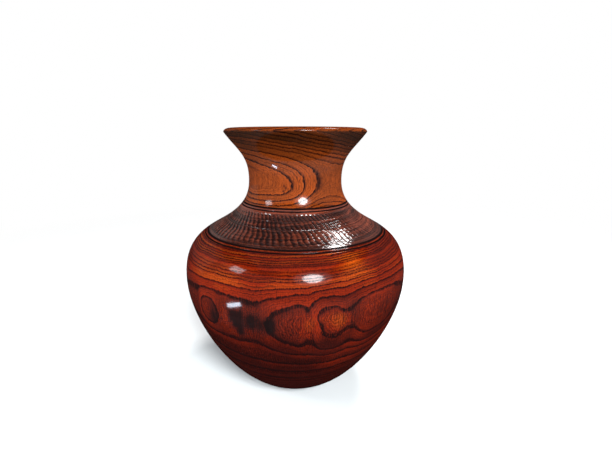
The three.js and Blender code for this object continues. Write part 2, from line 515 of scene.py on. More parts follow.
class Graph:
    """Node tree of one material, with short calls for the nodes that the finishes use."""

    def __init__(self, name: str) -> None:
        """Starts an empty tree.

        Args:
            name: Name of the material.
        """
        self.material = bpy.data.materials.new(name)
        self.material.use_nodes = True
        self.tree = self.material.node_tree
        self.tree.nodes.clear()

    def node(self, kind: str, **inputs: object) -> bpy.types.Node:
        """Adds a node and fills its sockets.

        Args:
            kind: Type name of the node.
            inputs: Values or sockets by socket name, with _ for a space.

        Returns:
            The new node.
        """
        made = self.tree.nodes.new(kind)
        for key, value in inputs.items():
            self.fill(made.inputs[key.replace("_", " ")], value)
        return made

    def fill(self, socket: bpy.types.NodeSocket, value: object) -> None:
        """Links a socket to another one, or sets its value.

        Args:
            socket: Socket to fill.
            value: Number, tuple or output socket.
        """
        if isinstance(value, bpy.types.NodeSocket):
            self.tree.links.new(value, socket)
        else:
            socket.default_value = value

    def math(self, operation: str, *values: object, clamp: bool = False) -> bpy.types.NodeSocket:
        """Adds a Math node.

        Args:
            operation: Name of the operation.
            values: Numbers or sockets.
            clamp: Whether the result stays from 0 to 1.

        Returns:
            The result.
        """
        made = self.tree.nodes.new("ShaderNodeMath")
        made.operation = operation
        made.use_clamp = clamp
        for socket, value in zip(made.inputs, values):
            self.fill(socket, value)
        return made.outputs[0]

    def product(self, first: object, *others: object) -> bpy.types.NodeSocket:
        """Multiplies values.

        Args:
            first: Number or socket.
            others: Numbers or sockets that it is multiplied by, in order.

        Returns:
            The product.
        """
        for other in others:
            first = self.math("MULTIPLY", first, other)
        return first

    def sway(self, noise: object, size: float, value: object) -> bpy.types.NodeSocket:
        """Moves a value up and down by noise.

        Args:
            noise: Noise from 0 to 1.
            size: Whole range of the movement.
            value: Number or socket that is moved.

        Returns:
            The moved value.
        """
        return self.math("MULTIPLY_ADD", self.math("SUBTRACT", noise, 0.5), size, value)

    def spread(self, value: object, span: Span, results: Span = (0.0, 1.0)) -> bpy.types.NodeSocket:
        """Maps one span of values smoothly to another.

        Args:
            value: Number or socket.
            span: Values at which the result starts and ends.
            results: First and last result.

        Returns:
            The result.
        """
        made = self.tree.nodes.new("ShaderNodeMapRange")
        made.interpolation_type = "SMOOTHSTEP"
        for socket, entry in zip(made.inputs, (value, *span, *results)):
            self.fill(socket, entry)
        return made.outputs[0]

    def mix(
        self, share: object, first: object, second: object, blend: str = "MIX"
    ) -> bpy.types.NodeSocket:
        """Mixes two colours.

        Args:
            share: Share of the second one.
            first: Colour or socket.
            second: Colour or socket.
            blend: Name of the blend.

        Returns:
            The mixed colour.
        """
        made = self.tree.nodes.new("ShaderNodeMix")
        made.data_type = "RGBA"
        made.blend_type = blend
        for index, value in zip(MIX_INPUTS, (share, first, second)):
            self.fill(made.inputs[index], (*value, 1.0) if isinstance(value, tuple) else value)
        return made.outputs[MIX_OUTPUT]

    def ramp(self, share: object, stops: list[tuple[float, Colour]]) -> bpy.types.NodeSocket:
        """Adds a colour ramp.

        Args:
            share: Number or socket from 0 to 1.
            stops: Pairs of place and colour.

        Returns:
            The colour.
        """
        made = self.node("ShaderNodeValToRGB", Fac=share)
        elements = made.color_ramp.elements
        while len(elements) < len(stops):
            elements.new(1.0)
        for element, (place, colour) in zip(elements, stops):
            element.position = place
            element.color = (*colour, 1.0)
        return made.outputs[0]

    def place(self, stretch: Axes = (1.0, 1.0, 1.0)) -> bpy.types.NodeSocket:
        """Gives the place on the object in metres, stretched along its axes.

        Args:
            stretch: Factor for each axis.

        Returns:
            The place as a vector.
        """
        origin = self.node("ShaderNodeTexCoord").outputs["Object"]
        return self.node("ShaderNodeMapping", Vector=origin, Scale=stretch).outputs[0]

    def noise(self, cloud: Cloud) -> bpy.types.NodeSocket:
        """Adds a noise texture.

        Args:
            cloud: Its size and stretch.

        Returns:
            The noise, from 0 to 1.
        """
        made = self.node(
            "ShaderNodeTexNoise",
            Vector=self.place(cloud.stretch),
            Scale=cloud.scale,
            Detail=cloud.detail,
            Roughness=cloud.rough,
        )
        return made.outputs["Fac"]

    def chance(self, number: object) -> bpy.types.NodeSocket:
        """Gives a chance value for each number.

        Args:
            number: Number or socket.

        Returns:
            The value, from 0 to 1.
        """
        made = self.tree.nodes.new("ShaderNodeTexWhiteNoise")
        made.noise_dimensions = "1D"
        self.fill(made.inputs["W"], number)
        return made.outputs["Value"]

    def painted(self, value: Value) -> bpy.types.NodeSocket:
        """Reads a value painted on the vertices.

        Args:
            value: Which value.

        Returns:
            The value.
        """
        made = self.tree.nodes.new("ShaderNodeAttribute")
        made.attribute_name = value.value
        return made.outputs["Fac"]

    def bump(self, height: object, depth: float, strength: float) -> bpy.types.NodeSocket:
        """Adds a bump.

        Args:
            height: Height socket, from 0 to 1.
            depth: Full height in metres.
            strength: Share of the bump that shows.

        Returns:
            The normal.
        """
        made = self.node("ShaderNodeBump", Height=height, Distance=depth, Strength=strength)
        return made.outputs[0]

    def finish(self, shader: bpy.types.Node) -> bpy.types.Material:
        """Connects the last shader to the output.

        Args:
            shader: Node whose first output is the surface.

        Returns:
            The material.
        """
        self.node("ShaderNodeOutputMaterial", Surface=shader.outputs[0])
        return self.material


@dataclass(frozen=True)
class RingWaves:
    """Fine lines inside the rings: lines in a ring, how far they wander, and where they show."""

    count: float
    wander: float
    wave: Span
    rings: Span


@dataclass(frozen=True)
class Grain:
    """Grain that all the woods share: its noises, and the spans in which its lines come and go.

    A span whose name ends in rings is in rings for each millimetre along the surface, so it is
    low where the rings lie flat.
    """

    pores: Cloud = Cloud(1300.0, rough=0.6, stretch=(1.0, 1.0, 0.2))
    wander: Cloud = Cloud(260.0)
    patches: Cloud = Cloud(30.0, stretch=(1.0, 1.0, 1.5))
    pore_shift: float = 1.5
    wander_shift: float = 3.0
    ragged_rings: Span = (0.04, 0.20)
    least_ragged: float = 0.55
    close_rings: Span = (0.05, 0.15)
    broad_rings: Span = (0.05, 0.10)
    edge_narrowing: Span = (0.36, 1.7)
    bold_counts: Span = (-1.6, -0.6)
    edge_patches: Span = (0.36, 0.64)
    edge_swell: Span = (0.85, 1.5)
    edge_reach: float = 6.0
    edge_fade: tuple[Pair, ...] = ((0.0, 1.0), (0.15, 0.97), (0.22, 0.45), (0.30, 0.18), (0.60, 0.0))
    edge_onset: Span = (0.1, 0.6)
    edge_pores: Span = (0.36, 0.52)
    least_edge: float = 0.55
    year_seed: float = 0.37
    year_chances: Span = (0.1, 0.8)
    year_strengths: Span = (0.6, 1.0)
    late_shares: Span = (0.0, 0.7)
    late_levels: Span = (1.0, -0.35)
    faint_offset: float = 0.46
    faint_width: Span = (0.2, 1.3)
    faint_rings: Span = (0.05, 0.13)
    faint_patches: Span = (0.40, 0.62)
    vessel_bend: float = 15.0
    vessel_wave: Span = (-0.2, 0.6)
    vessel_noise: Cloud = Cloud(700.0, 3.0, 0.6, (1.0, 1.0, 0.07))
    vessel_chances: Span = (0.40, 0.62)
    regular_share: float = 0.75
    chance_share: float = 0.5
    flat_rings: Span = (0.025, 0.11)
    least_contrast: float = 0.12
    fine: RingWaves = RingWaves(31.0, 5.0, (-0.2, 1.0), (0.03, 0.12))
    arcs: RingWaves = RingWaves(94.0, 6.0, (-0.3, 0.7), (0.006, 0.02))
    arc_end_rings: Span = (0.06, 0.10)
    flecks: Span = (0.50, 0.68)
    fleck_shade: float = 0.52
    patch_tone: float = 0.4
    # The film breaks in the painted shade of grooves, and dulls where stains and painted shade are
    groove_shade_levels: Span = (0.94, 1.0)
    groove_film: float = 0.1
    dull_stain_and_shade_span: Span = (0.3, 0.9)
    open_lines: Span = (0.35, 1.0)
    pore_depth: float = 0.00004
    pore_bump: float = 0.08


@dataclass(frozen=True)
class GrainSockets:
    """Sockets that the steps of a wood finish share: ragged ring count, its pace, and noises."""

    rings: bpy.types.NodeSocket
    pace: bpy.types.NodeSocket
    pores: bpy.types.NodeSocket
    wander: bpy.types.NodeSocket
    patch: bpy.types.NodeSocket


@dataclass(frozen=True)
class LacqueredWood:
    """Figured wood under lacquer: year rings with open pores along their dark edge."""

    name: str
    pale: Colour
    middle: Colour
    deep: Colour
    edge: Colour = (0.004, 0.001, 0.001)
    # Colour of stains in the wood and of the painted shade in grooves, beside seams and in chatter scoops
    stain: Colour = (0.004, 0.002, 0.002)
    contrast: float = 0.62
    roughness: float = 0.40
    specular: float = 0.0
    coat: float = 0.022
    coat_roughness: float = 0.095
    coat_ior: float = 4.0
    vessels: int = 340
    lines: float = 1.0
    faint_lines: Span = (0.22, 0.80)
    fine_lines: float = 0.40
    arc_lines: float = 0.48
    late_tone: float = 0.17
    year_tone: float = 0.34
    bold: float = 0.66
    open_pores: float = 0.5
    dull_stain_and_shade: float = 0.6
    thin_film: float = 0.35
    thin_heights: Span = (0.090, 0.140)
    grain: Grain = Grain()

    def sockets(self, graph: Graph) -> GrainSockets:
        """Makes the ragged count of rings and the noises.

        Args:
            graph: Node tree.

        Returns:
            The shared sockets.
        """
        grain = self.grain
        pace = graph.painted(Value.PACE)
        pores = graph.noise(grain.pores)
        wander = graph.noise(grain.wander)
        ragged = graph.sway(pores, grain.pore_shift, graph.sway(wander, grain.wander_shift, 0.0))
        ragged = graph.product(ragged, graph.spread(pace, grain.ragged_rings, (1.0, grain.least_ragged)))
        rings = graph.math("MULTIPLY_ADD", ragged, pace, graph.painted(Value.RING))
        return GrainSockets(rings, pace, pores, wander, graph.noise(grain.patches))

    def edges(self, graph: Graph, at: GrainSockets) -> bpy.types.NodeSocket:
        """Draws the dark edges of the rings: sharp on one side, fading on the other.

        Args:
            graph: Node tree.
            at: Shared sockets.

        Returns:
            How dark the edge is, from 0 to 1.
        """
        grain = self.grain
        share = graph.math("FRACT", at.rings)
        past = graph.product(
            graph.math("DIVIDE", share, at.pace),
            graph.spread(at.pace, grain.close_rings, grain.edge_narrowing),
            graph.spread(at.rings, grain.bold_counts, (1.0, self.bold)),
            graph.spread(at.patch, grain.edge_patches, grain.edge_swell),
        )
        ahead = graph.math("DIVIDE", graph.math("SUBTRACT", 1.0, share), at.pace)
        stops = [(place, (level,) * 3) for place, level in grain.edge_fade]
        fading = graph.ramp(graph.math("DIVIDE", past, grain.edge_reach), stops)
        line = graph.math("MAXIMUM", fading, graph.spread(ahead, grain.edge_onset, (1.0, 0.0)))
        broken = graph.spread(at.pores, grain.edge_pores, (grain.least_edge, self.lines))
        year = graph.chance(graph.math("ADD", graph.math("FLOOR", at.rings), grain.year_seed))
        strong = graph.math(
            "MAXIMUM",
            graph.spread(year, grain.year_chances, grain.year_strengths),
            graph.spread(at.pace, grain.broad_rings, (1.0, 0.0)),
        )
        return graph.product(line, broken, strong)

    def between(self, graph: Graph, at: GrainSockets) -> bpy.types.NodeSocket:
        """Draws the fainter lines between the dark edges, in patches.

        Args:
            graph: Node tree.
            at: Shared sockets.

        Returns:
            How dark the line is, from 0 to 1.
        """
        grain = self.grain
        share = graph.math("FRACT", graph.math("ADD", at.rings, grain.faint_offset))
        return graph.product(
            graph.spread(graph.math("DIVIDE", share, at.pace), grain.faint_width, (1.0, 0.0)),
            graph.spread(at.pace, grain.faint_rings),
            graph.spread(at.patch, grain.faint_patches, self.faint_lines),
        )

    def late(self, graph: Graph, at: GrainSockets) -> bpy.types.NodeSocket:
        """Gives the darker wood that follows each dark edge where the rings lie close.

        Args:
            graph: Node tree.
            at: Shared sockets.

        Returns:
            What it adds to the tone.
        """
        grain = self.grain
        share = graph.spread(graph.math("FRACT", at.rings), grain.late_shares, grain.late_levels)
        return graph.product(share, graph.spread(at.pace, grain.close_rings, (0.0, self.late_tone)))

    def wood(self, graph: Graph, at: GrainSockets) -> bpy.types.NodeSocket:
        """Colours the wood by the painted tone, which varies with the year and in patches.

        Args:
            graph: Node tree.
            at: Shared sockets.

        Returns:
            The colour without lines.
        """
        year = graph.chance(graph.math("FLOOR", at.rings))
        tone = graph.sway(year, self.year_tone, graph.painted(Value.TONE))
        tone = graph.sway(at.patch, self.grain.patch_tone, tone)
        tone = graph.math("ADD", tone, self.late(graph, at))
        return graph.ramp(tone, [(0.0, self.pale), (0.5, self.middle), (1.0, self.deep)])

    def streaks(self, graph: Graph, at: GrainSockets) -> bpy.types.NodeSocket:
        """Draws vessels that run up the wood, where the rings lie flat along the surface.

        Args:
            graph: Node tree.
            at: Shared sockets.

        Returns:
            Factor for the colour, from dark to 1.
        """
        grain = self.grain
        axes = graph.node("ShaderNodeSeparateXYZ", Vector=graph.place()).outputs
        turn = graph.math("ARCTAN2", axes["X"], graph.product(axes["Y"], -1.0))
        count = graph.product(turn, float(self.vessels))
        phase = graph.math("MULTIPLY_ADD", at.wander, grain.vessel_bend, count)
        regular = graph.spread(graph.math("SINE", phase), grain.vessel_wave)
        chance = graph.spread(graph.noise(grain.vessel_noise), grain.vessel_chances)
        chance = graph.product(chance, grain.chance_share)
        both = graph.math("MULTIPLY_ADD", regular, grain.regular_share, chance)
        flat = graph.spread(at.pace, grain.flat_rings, (self.contrast, grain.least_contrast))
        return graph.math("SUBTRACT", 1.0, graph.product(both, flat), clamp=True)

    def waves(self, graph: Graph, at: GrainSockets, kind: RingWaves, most: float) -> bpy.types.NodeSocket:
        """Draws fine lines inside the rings.

        Args:
            graph: Node tree.
            at: Shared sockets.
            kind: Their number and where they show.
            most: How dark they get.

        Returns:
            How dark they are, from 0 to 1.
        """
        phase = graph.math("MULTIPLY_ADD", at.rings, kind.count, graph.product(at.wander, kind.wander))
        wave = graph.spread(graph.math("SINE", phase), kind.wave)
        return graph.product(wave, graph.spread(at.pace, kind.rings, (0.0, most)))

    def shade(self, graph: Graph, at: GrainSockets) -> bpy.types.NodeSocket:
        """Joins the vessels, the fine lines and the flecks.

        Args:
            graph: Node tree.
            at: Shared sockets.

        Returns:
            Grey that the colour of the wood is multiplied by.
        """
        grain = self.grain
        fine = self.waves(graph, at, grain.fine, self.fine_lines)
        arcs = self.waves(graph, at, grain.arcs, self.arc_lines)
        arcs = graph.product(arcs, graph.spread(at.pace, grain.arc_end_rings, (1.0, 0.0)))
        level = graph.product(
            self.streaks(graph, at),
            graph.math("SUBTRACT", 1.0, fine),
            graph.math("SUBTRACT", 1.0, arcs),
            graph.spread(at.pores, grain.flecks, (1.0, grain.fleck_shade)),
        )
        return graph.node("ShaderNodeCombineColor", Red=level, Green=level, Blue=level).outputs[0]

    def film(self, graph: Graph, line: object, stain: object) -> bpy.types.NodeSocket:
        """Gives the lacquer film, which open pores and grooves break and which thins towards one end.

        Args:
            graph: Node tree.
            line: How dark the ring lines are.
            stain: How stained the wood is, with painted shade in grooves, beside seams and in chatter
                scoops, 1 in a groove.

        Returns:
            Weight of the film.
        """
        grain = self.grain
        height = graph.node("ShaderNodeSeparateXYZ", Vector=graph.place()).outputs["Z"]
        return graph.product(
            graph.spread(stain, grain.groove_shade_levels, (self.coat, grain.groove_film * self.coat)),
            graph.spread(height, self.thin_heights, (self.thin_film, 1.0)),
            graph.spread(stain, grain.dull_stain_and_shade_span, (1.0, 1.0 - self.dull_stain_and_shade)),
            graph.spread(line, grain.open_lines, (1.0, 1.0 - self.open_pores)),
        )

    def material(self) -> bpy.types.Material:
        """Builds the finish.

        Returns:
            The new material.
        """
        graph = Graph(self.name)
        at = self.sockets(graph)
        line = graph.math("MAXIMUM", self.edges(graph, at), self.between(graph, at))
        stain = graph.painted(Value.STAIN)
        wood = graph.mix(1.0, self.wood(graph, at), self.shade(graph, at), "MULTIPLY")
        wood = graph.mix(line, wood, self.edge)
        # Mixes in stains and the painted shade of grooves, seams and chatter scoops
        wood = graph.mix(stain, wood, self.stain)
        hollow = graph.math("SUBTRACT", 1.0, line)
        shader = graph.node(
            "ShaderNodeBsdfPrincipled",
            Base_Color=wood,
            Roughness=self.roughness,
            Specular_IOR_Level=self.specular,
            Coat_Weight=self.film(graph, line, stain),
            Coat_Roughness=self.coat_roughness,
            Coat_IOR=self.coat_ior,
            Coat_Normal=graph.bump(hollow, self.grain.pore_depth, self.grain.pore_bump),
        )
        return graph.finish(shader)


@dataclass(frozen=True)
class SpunCopper:
    """Copper sheet with the fine rings of spinning, darkened a little with age."""

    name: str
    bright: Colour
    dull: Colour
    roughness: float
    rings: Cloud = Cloud(2600.0, stretch=(0.02, 0.02, 1.0))
    ring_depth: float = 0.00005
    ring_bump: float = 0.35
    age: Cloud = Cloud(60.0, 4.0, 0.6)
    dull_ages: Span = (0.42, 0.68)
    rough_ages: Span = (0.3, 0.75)
    smoother: float = 0.06
    rougher: float = 0.16

    def material(self) -> bpy.types.Material:
        """Builds the finish.

        Returns:
            The new material.
        """
        graph = Graph(self.name)
        age = graph.noise(self.age)
        rough = (self.roughness - self.smoother, self.roughness + self.rougher)
        shader = graph.node(
            "ShaderNodeBsdfPrincipled",
            Base_Color=graph.mix(graph.spread(age, self.dull_ages), self.bright, self.dull),
            Metallic=1.0,
            Roughness=graph.spread(age, self.rough_ages, rough),
            Normal=graph.bump(graph.noise(self.rings), self.ring_depth, self.ring_bump),
        )
        return graph.finish(shader)


NECK_WOOD = LacqueredWood(
    "neck_wood",
    pale=(0.28, 0.042, 0.003),
    middle=(0.160, 0.028, 0.004),
    deep=(0.030, 0.008, 0.002),
    late_tone=0.08,
    year_tone=0.2,
    contrast=0.4,
    arc_lines=0.25,
    bold=0.68,
    open_pores=0.25,
    faint_lines=(0.1, 0.45),
    coat=0.031,
    thin_film=0.5,
    thin_heights=(0.244, 0.224),
)
BAND_WOOD = LacqueredWood(
    "band_wood",
    pale=(0.19, 0.037, 0.014),
    middle=(0.11, 0.022, 0.011),
    deep=(0.022, 0.006, 0.004),
    coat=0.068,
    coat_roughness=0.14,
    lines=0.45,
    faint_lines=(0.0, 0.0),
    fine_lines=0.0,
    arc_lines=0.0,
    late_tone=0.0,
    dull_stain_and_shade=0.55,
)
BELLY_WOOD = LacqueredWood(
    "belly_wood",
    pale=(0.31, 0.046, 0.003),
    middle=(0.135, 0.008, 0.001),
    deep=(0.026, 0.002, 0.001),
)
PLUG_WOOD = LacqueredWood(
    "plug_wood",
    pale=(0.25, 0.07, 0.02),
    middle=(0.13, 0.035, 0.012),
    deep=(0.05, 0.015, 0.007),
    roughness=0.55,
    coat=0.045,
)
LINER_COPPER = SpunCopper("liner_copper", (0.70, 0.30, 0.16), (0.54, 0.225, 0.115), 0.34)
RIM_COPPER = SpunCopper("rim_copper", (0.80, 0.38, 0.21), (0.62, 0.28, 0.155), 0.24)


@dataclass(frozen=True)
class Swell:
    """Soft patch of a turned surface: an eye where the year rings swell, a glow, a stain, or painted
    light or shade.
    """

    turn: float
    height: float
    half_width: float
    half_height: float
    rise: float
    power: float = 3.0
    radius: float = 111.0

    def lift(self, places: np.ndarray) -> np.ndarray:
        """Gives how strong the patch is.

        Args:
            places: Places in millimetres.

        Returns:
            The rise at each place, fading to 0 round the patch.
        """
        across = turned_from(places, self.turn) * self.radius / self.half_width
        up = (places[..., 2] - self.height) / self.half_height
        return self.rise * np.exp(-(np.abs(across) ** self.power + np.abs(up) ** self.power))


def strongest(patches: tuple[Swell, ...], places: np.ndarray) -> np.ndarray:
    """Gives the strongest of several patches at each place.

    Args:
        patches: Patches that rise above 0.
        places: Places in millimetres.

    Returns:
        The greatest rise at each place.
    """
    return np.max([patch.lift(places) for patch in patches], axis=0)


@dataclass(frozen=True)
class LogFigure:
    """Log that a piece is turned from: it lies off the axis, leans, and is darker at some heights, partly
    as painted shade.
    """

    shift: Pair
    lean: Pair
    level: float
    start: float
    spacing: float
    most: float
    tone_and_shade_stops: tuple[Pair, ...]
    tone_noise: SpaceNoise
    darkest: float

    def reach(self, places: np.ndarray) -> np.ndarray:
        """Gives the distance from the heart of the log.

        Args:
            places: Places in millimetres.

        Returns:
            One distance for each place.
        """
        x, y, z = np.moveaxis(places, -1, 0)
        away = z - self.level
        sideways = x + self.shift[0] + self.lean[0] * away
        backwards = y + self.shift[1] + self.lean[1] * away
        return np.hypot(sideways, backwards)

    def patches(self, places: np.ndarray) -> np.ndarray:
        """Gives what patches add to the tone, which is nothing on a plain log."""
        return np.zeros(places.shape[:-1])

    def tones(self, places: np.ndarray) -> np.ndarray:
        """Gives how dark and red the wood is, with painted shade and painted light at some heights and in
        patches.

        Args:
            places: Places in millimetres.

        Returns:
            Tones from 0, pale orange, past 1, deep brown, to the darkest.
        """
        heights, levels = zip(*self.tone_and_shade_stops)
        tone = np.interp(places[..., 2], heights, levels) + self.patches(places)
        return np.clip(tone + self.tone_noise.sample(places), 0.0, self.darkest)


@dataclass(frozen=True)
class BellyFigure(LogFigure):
    """Year rings of the belly's log, which swell in a row of eyes."""

    shift: Pair = (1.17, -1.97)
    lean: Pair = (0.045, 0.074)
    level: float = 120.6
    start: float = 112.4
    spacing: float = 2.65
    most: float = 1.75
    # Darker towards the bottom, partly the wood's own tone and partly painted shade on the lower belly,
    # which faces down; lightest from 148 to 158 mm, partly as painted light
    tone_and_shade_stops: tuple[Pair, ...] = (
        (20.0, 1.18),
        (60.0, 1.20),
        (75.0, 1.18),
        (93.0, 1.14),
        (105.0, 1.05),
        (126.0, 0.93),
        (137.0, 0.76),
        (148.0, 0.47),
        (158.0, 0.39),
        (166.0, 0.48),
    )
    tone_noise: SpaceNoise = SpaceNoise(30.0, 31, 0.08)
    darkest: float = 1.4
    bends: tuple[SpaceNoise, ...] = (
        SpaceNoise(40.0, 3),
        SpaceNoise(16.0, 4, stretch=(1.0, 1.0, 1.3)),
    )
    calm_bends: Pair = (0.30, 0.20)
    wild_bend: float = 0.25
    wild_heights: Span = (128.0, 152.0)
    uneven_waves: tuple[tuple[float, float, float], ...] = ((0.16, 2.1, 1.0), (0.10, 4.3, 0.0))
    uneven_counts: Span = (1.5, 3.0)
    eye_counts: float = 1.5
    closer_above: float = 0.45
    closer_heights: Span = (126.0, 140.0)
    wider_below: float = 0.56
    wider_heights: Span = (96.0, 122.0)
    eyes: tuple[Swell, ...] = (
        Swell(-42.3, 112.5, 11.0, 17.0, 2.3),
        Swell(-26.5, 112.4, 9.0, 13.0, -0.4),
        Swell(-16.9, 120.6, 12.1, 35.5, -1.24, 2.0),
        Swell(6.5, 110.9, 6.5, 25.8, -1.29),
        Swell(12.8, 130.6, 11.8, 15.1, 1.57, 4.0),
        Swell(15.2, 128.3, 17.5, 26.7, -1.97, 2.0),
        Swell(25.0, 98.8, 11.0, 29.3, -2.09, 2.0),
        Swell(34.1, 107.1, 63.8, 36.0, 4.63),
    )
    glow_share: float = 0.34
    glows: tuple[Swell, ...] = (
        Swell(-44.0, 114.0, 8.0, 12.0, 1.0, 2.0),
        Swell(-1.2, 112.8, 21.0, 19.0, 0.8, 4.0),
        Swell(6.0, 113.0, 11.0, 15.0, 0.8, 2.0),
        Swell(17.4, 115.3, 13.0, 15.0, 0.75, 4.0),
        Swell(18.5, 115.3, 8.0, 9.0, 0.9, 2.0),
        Swell(36.0, 117.0, 17.0, 20.0, 0.6, 3.0),
        Swell(30.0, 96.0, 26.0, 11.0, 0.5, 2.0),
        Swell(-58.0, 125.0, 22.0, 26.0, 0.3, 2.0),
        Swell(-34.0, 124.0, 24.0, 16.0, 0.5, 2.0),
        Swell(56.0, 134.0, 24.0, 14.0, 0.6, 2.0),
        Swell(8.0, 111.0, 9.0, 12.0, 0.4, 2.0),
        Swell(-27.0, 98.0, 14.0, 8.0, 0.5, 2.0),
        Swell(-33.0, 112.0, 5.0, 12.0, 0.5, 2.0),
    )
    # Patches of painted shade and painted light: darker on the left edge and the far right of the upper
    # belly, lighter near the front of the upper belly, and a painted reflection lighter on the lower
    # right
    painted_light_and_shade: tuple[Swell, ...] = (
        Swell(27.5, 157.0, 11.0, 7.0, -0.35, 2.0, 104.0),
        Swell(60.0, 154.0, 40.0, 16.0, 0.26, 4.0, 104.0),
        Swell(-66.0, 143.0, 32.0, 24.0, 0.20, 2.0, 104.0),
        Swell(38.0, 70.0, 55.0, 34.0, -0.20, 2.0, 90.0),
    )
    hearts: tuple[Swell, ...] = (
        Swell(-39.0, 108.5, 4.5, 9.0, 0.8, 2.0),
        Swell(-25.6, 116.5, 7.6, 6.8, 1.2, 4.0),
        Swell(-25.0, 111.0, 6.2, 8.0, 1.2, 4.0),
        Swell(-24.2, 105.0, 4.4, 7.0, 1.2, 3.0),
        Swell(-17.4, 114.0, 7.5, 8.0, 1.1, 3.0),
        Swell(-14.0, 112.5, 13.0, 5.5, 0.9, 4.0),
        Swell(-10.6, 112.0, 6.0, 7.0, 1.2, 3.0),
    )
    heart_share: float = 0.92
    heart_streaks: SpaceNoise = SpaceNoise(2.4, 35, 0.5, (1.0, 1.0, 0.15))
    darkest_heart: float = 0.93
    hidden_eyes: int = 9
    hidden_turns: Span = (82.0, 286.0)
    hidden_sway: Span = (-7.0, 7.0)
    hidden_heights: Span = (104.0, 124.0)
    hidden_half_widths: Span = (9.0, 20.0)
    hidden_half_heights: Span = (13.0, 22.0)
    hidden_rises: Span = (2.0, 5.0)
    hidden_powers: Span = (2.5, 4.0)
    seed: int = 11

    def unseen(self) -> list[Swell]:
        """Draws eyes for the sides and the back.

        Returns:
            The eyes, spread evenly with some chance.
        """
        chance = np.random.default_rng(self.seed)
        return [
            Swell(
                turn + chance.uniform(*self.hidden_sway),
                chance.uniform(*self.hidden_heights),
                chance.uniform(*self.hidden_half_widths),
                chance.uniform(*self.hidden_half_heights),
                chance.uniform(*self.hidden_rises),
                chance.uniform(*self.hidden_powers),
            )
            for turn in np.linspace(*self.hidden_turns, self.hidden_eyes)
        ]

    def rings(self, places: np.ndarray) -> np.ndarray:
        """Counts year rings at places.

        Args:
            places: Places in millimetres.

        Returns:
            The count, whole at the dark edge of a ring.
        """
        z = places[..., 2]
        reach = self.reach(places)
        wild = self.wild_bend * smooth_step(*self.wild_heights, z)
        for calm, bend in zip(self.calm_bends, self.bends):
            reach = reach + (calm + wild) * bend.sample(places)
        for eye in (*self.eyes, *self.unseen()):
            reach = reach + eye.lift(places)
        count = soft_limit((reach - self.start) / self.spacing, self.most)
        uneven = sum(size * np.sin(pace * count + start) for size, pace, start in self.uneven_waves)
        count = count + smooth_step(*self.uneven_counts, -count) * uneven
        closer = self.closer_above * smooth_step(*self.closer_heights, z)
        wider = self.wider_below * (1.0 - smooth_step(*self.wider_heights, z))
        return count + (wider - closer) * np.maximum(-count - self.eye_counts, 0.0)

    def patches(self, places: np.ndarray) -> np.ndarray:
        """Gives what the glow of the eyes and the patches of painted light and shade add to the tone.

        Args:
            places: Places in millimetres.

        Returns:
            What is added at each place.
        """
        total = np.zeros(places.shape[:-1])
        for glow in (*self.glows, *self.unseen()):
            total = total - self.glow_share * np.clip(glow.lift(places), 0.0, 1.0)
        for shade in self.painted_light_and_shade:
            total = total + shade.lift(places)
        return total

    def stains(self, places: np.ndarray) -> np.ndarray:
        """Gives the dark heart of two eyes on the left, and the smear beside them.

        Args:
            places: Places in millimetres.

        Returns:
            Stains from 0, clear, to 1, nearly black.
        """
        streaks = self.heart_share + self.heart_streaks.sample(places)
        return np.clip(strongest(self.hearts, places) * streaks, 0.0, self.darkest_heart)


@dataclass(frozen=True)
class NeckFigure(LogFigure):
    """Year rings of the neck's log, with a hollow on the left that shows as nested loops."""

    shift: Pair = (2.1, -3.7)
    lean: Pair = (0.143, 0.172)
    level: float = 215.0
    start: float = 38.65
    spacing: float = 4.15
    most: float = 0.8
    # Darker on the flare's underside, which faces down, partly as painted shade, and lighter again on the
    # lip's top
    tone_and_shade_stops: tuple[Pair, ...] = (
        (193.0, 0.46),
        (212.0, 0.47),
        (228.0, 0.47),
        (238.0, 0.53),
        (246.0, 0.73),
        (252.0, 0.92),
        (256.0, 0.92),
        (258.0, 0.50),
    )
    tone_noise: SpaceNoise = SpaceNoise(24.0, 33, 0.1)
    darkest: float = 1.0
    bends: tuple[SpaceNoise, ...] = (SpaceNoise(24.0, 13, 0.30), SpaceNoise(9.0, 14, 0.30))
    narrow: float = 3.0
    hollow_turn: float = -39.6
    hollow_height: float = 211.0
    hollow_half_width: float = 43.6
    hollow_half_height: float = 23.0
    hollow_depth: float = 13.1
    hollow_tilt: float = 0.13
    hollow_power: float = 3.5
    arc_radius: float = 45.0
    knots: tuple[Swell, ...] = (
        Swell(-12.3, 212.2, 0.9, 0.9, 0.9, 2.0, 45.0),
        Swell(-10.5, 210.6, 1.1, 1.0, 0.9, 2.0, 45.0),
        Swell(-12.8, 207.8, 1.1, 1.0, 0.9, 2.0, 45.0),
    )

    def rings(self, places: np.ndarray) -> np.ndarray:
        """Counts year rings at places.

        Args:
            places: Places in millimetres.

        Returns:
            The count, whole at the dark edge of a ring.
        """
        across = turned_from(places, self.hollow_turn) * self.arc_radius
        above = places[..., 2] - self.hollow_height + self.hollow_tilt * across
        dip = np.abs(across / self.hollow_half_width) ** self.hollow_power
        dip = dip + (above / self.hollow_half_height) ** 2
        reach = self.reach(places) - self.hollow_depth * np.exp(-dip)
        for bend in self.bends:
            reach = reach + bend.sample(places)
        count = -soft_limit((self.start - reach) / self.spacing, self.most)
        return count + np.maximum(count - self.narrow, 0.0)

    def stains(self, places: np.ndarray) -> np.ndarray:
        """Returns the dark dots of small knots, from 0, clear, to 1, nearly black."""
        return strongest(self.knots, places)


